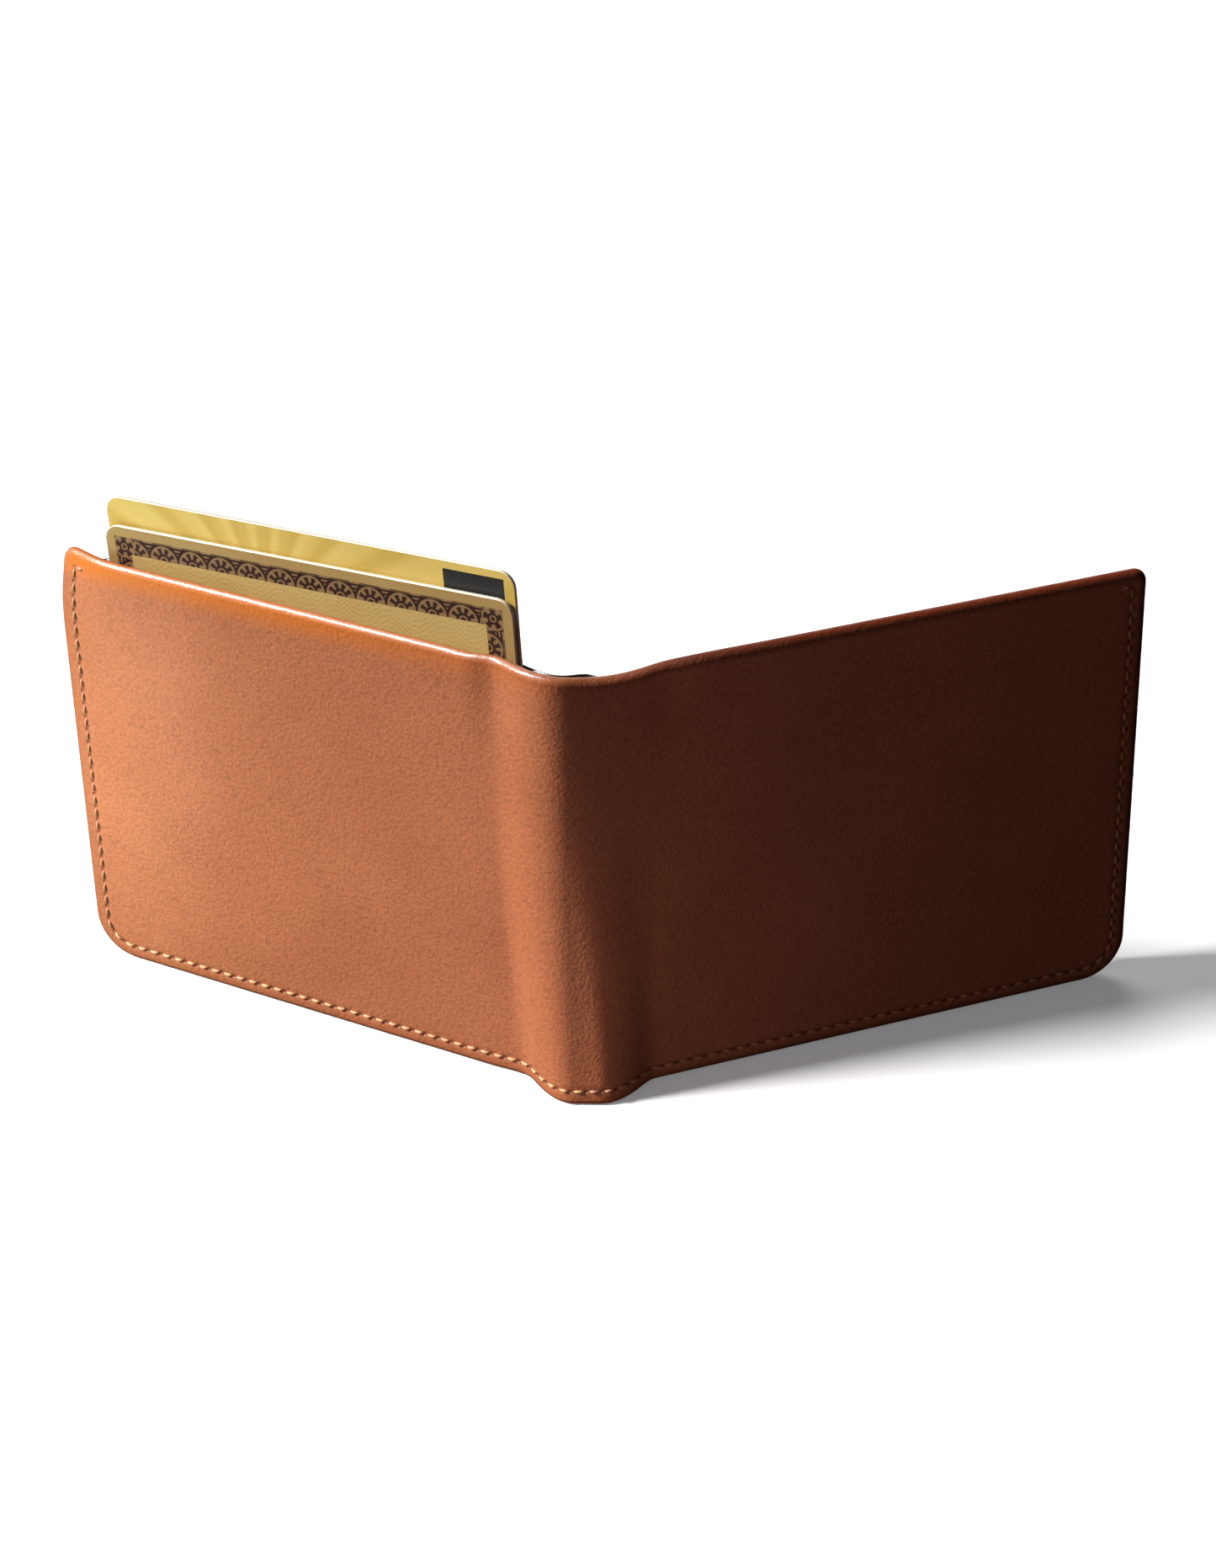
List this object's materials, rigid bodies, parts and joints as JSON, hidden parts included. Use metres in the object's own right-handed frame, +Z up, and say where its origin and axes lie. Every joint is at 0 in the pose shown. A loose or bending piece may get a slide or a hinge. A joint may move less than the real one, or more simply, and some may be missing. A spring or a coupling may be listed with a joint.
{
  "type": "bifold wallet",
  "caption": "Leather bifold wallet standing half open on its long edges, with a full-length cash pocket, card slots, and cards in a hidden pocket.",
  "frame": {"origin": "on the table, under the middle of the open wallet", "axes": "+X across the open wallet from the left half to the right half, as seen from outside; +Y from the spine into the fold; +Z up"},
  "size_m": [0.199, 0.0542, 0.1023],
  "materials": {
    "cover_leather": "smooth tan leather with a fine pebbled grain, semi-gloss",
    "inner_leather": "smooth black leather, glossy",
    "lining": "black woven lining, matt",
    "board": "pressed fibre board",
    "tan_thread": "waxed polyester thread",
    "black_thread": "waxed polyester thread",
    "card_plastic": "laminated card, gold print on a white core"
  },
  "bodies": {
    "spine": {"seam_thread_spine": "tan_thread", "spine_cover": "cover_leather", "spine_divider": "inner_leather", "spine_lining": "lining"},
    "left_half": {"card_slot_lower_left": "inner_leather", "card_slot_middle_left": "inner_leather", "card_slot_upper_left": "inner_leather", "cash_lining_left": "lining", "cover_board_left": "board", "divider_left": "inner_leather", "hidden_pocket": "inner_leather", "hidden_pocket_seams": "inner_leather", "outer_cover_left": "cover_leather", "seam_thread_left": "tan_thread", "slot_seams_left": "inner_leather", "slot_thread_left": "black_thread"},
    "right_half": {"card_slot_lower_right": "inner_leather", "card_slot_middle_right": "inner_leather", "card_slot_upper_right": "inner_leather", "cash_lining_right": "lining", "cover_board_right": "board", "divider_right": "inner_leather", "outer_cover_right": "cover_leather", "seam_thread_right": "tan_thread", "slot_seams_right": "inner_leather", "slot_thread_right": "black_thread"},
    "card_front": {"card_front": "card_plastic"},
    "card_rear": {"card_rear": "card_plastic"}
  },
  "joints": [
    {"name": "left_fold", "type": "hinge", "parent": "spine", "child": "left_half", "pos_m": [-0.01, -0.01935, 0], "axis": [0, 0, -1], "range_deg": [-24, 66]},
    {"name": "right_fold", "type": "hinge", "parent": "spine", "child": "right_half", "pos_m": [0.01, -0.01935, 0], "axis": [0, 0, 1], "range_deg": [-24, 66]},
    {"name": "card_front_slide", "type": "slide", "parent": "left_half", "child": "card_front", "axis": [0, 0, 1], "range_m": [-0.01, 0.036]},
    {"name": "card_rear_slide", "type": "slide", "parent": "left_half", "child": "card_rear", "axis": [0, 0, 1], "range_m": [-0.014, 0.032]}
  ],
  "couplings": [
    {"joint": "right_fold", "follows": "left_fold", "ratio": 1}
  ]
}
